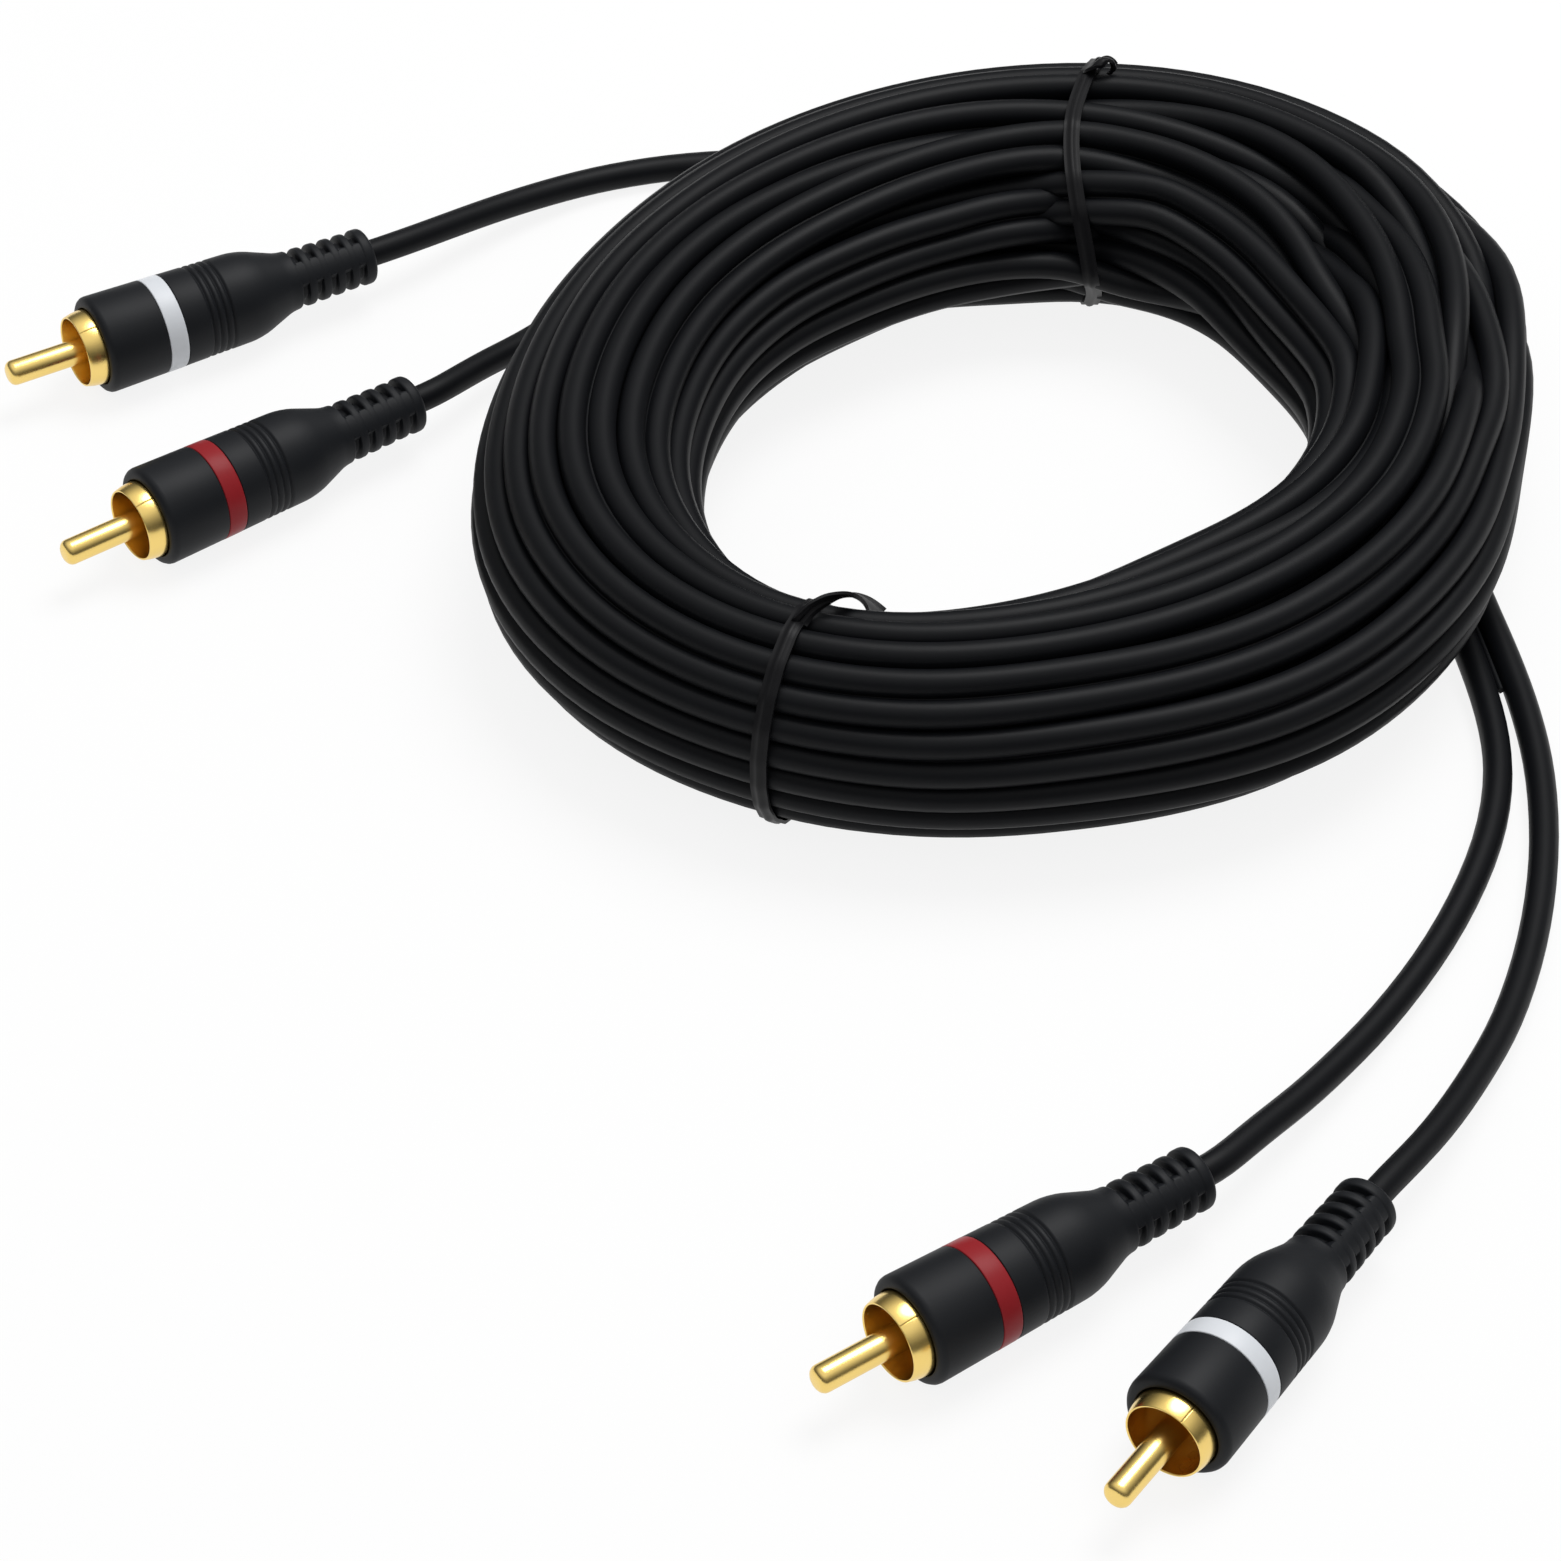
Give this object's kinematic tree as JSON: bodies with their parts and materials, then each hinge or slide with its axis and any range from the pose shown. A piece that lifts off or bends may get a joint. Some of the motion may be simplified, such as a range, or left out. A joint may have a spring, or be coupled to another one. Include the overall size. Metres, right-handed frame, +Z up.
{
  "type": "stereo audio cable with phono plugs",
  "caption": "Black stereo audio cable wound into an oval bundle with twist ties, gold-plated phono plugs with white and red colour rings.",
  "frame": {"origin": "on the table plane, at the centre of the box round the plugs as they lie in the picture", "axes": "+X to the right of the picture, +Y away from the camera along the table, +Z up"},
  "size_m": [0.1906, 0.2391, 0.0292],
  "materials": {
    "gold_plate": "polished gold plate on brass, bright with warm dark reflections",
    "black_pvc": "satin black soft PVC, slightly bluish",
    "white_ring": "smooth cool white plastic",
    "red_ring": "smooth deep red plastic",
    "insulator_plastic": "matt dark brown insulator",
    "inner_mould_plastic": "matt translucent white under-mould, hidden by the hood",
    "core_plastic": "matt white core insulation, hidden",
    "copper_wire": "bare copper, hidden",
    "tie_plastic": "satin black plastic ribbon over a wire"
  },
  "bodies": {
    "root": {"left_white_centre_pin": "gold_plate", "left_white_ground_shell": "gold_plate", "left_white_insulator": "insulator_plastic", "left_white_hood": "black_pvc", "left_white_colour_ring": "white_ring", "left_white_inner_mould": "inner_mould_plastic", "left_white_shield_braid": "copper_wire", "left_white_core_dielectric": "core_plastic", "left_white_core_conductor": "copper_wire", "left_white_lead": "black_pvc", "left_red_centre_pin": "gold_plate", "left_red_ground_shell": "gold_plate", "left_red_insulator": "insulator_plastic", "left_red_hood": "black_pvc", "left_red_colour_ring": "red_ring", "left_red_inner_mould": "inner_mould_plastic", "left_red_shield_braid": "copper_wire", "left_red_core_dielectric": "core_plastic", "left_red_core_conductor": "copper_wire", "left_red_lead": "black_pvc", "front_red_centre_pin": "gold_plate", "front_red_ground_shell": "gold_plate", "front_red_insulator": "insulator_plastic", "front_red_hood": "black_pvc", "front_red_colour_ring": "red_ring", "front_red_inner_mould": "inner_mould_plastic", "front_red_shield_braid": "copper_wire", "front_red_core_dielectric": "core_plastic", "front_red_core_conductor": "copper_wire", "front_red_lead": "black_pvc", "front_white_centre_pin": "gold_plate", "front_white_ground_shell": "gold_plate", "front_white_insulator": "insulator_plastic", "front_white_hood": "black_pvc", "front_white_colour_ring": "white_ring", "front_white_inner_mould": "inner_mould_plastic", "front_white_shield_braid": "copper_wire", "front_white_core_dielectric": "core_plastic", "front_white_core_conductor": "copper_wire", "front_white_lead": "black_pvc", "cable_coil": "black_pvc", "back_tie": "tie_plastic", "front_tie": "tie_plastic"}
  },
  "joints": []
}
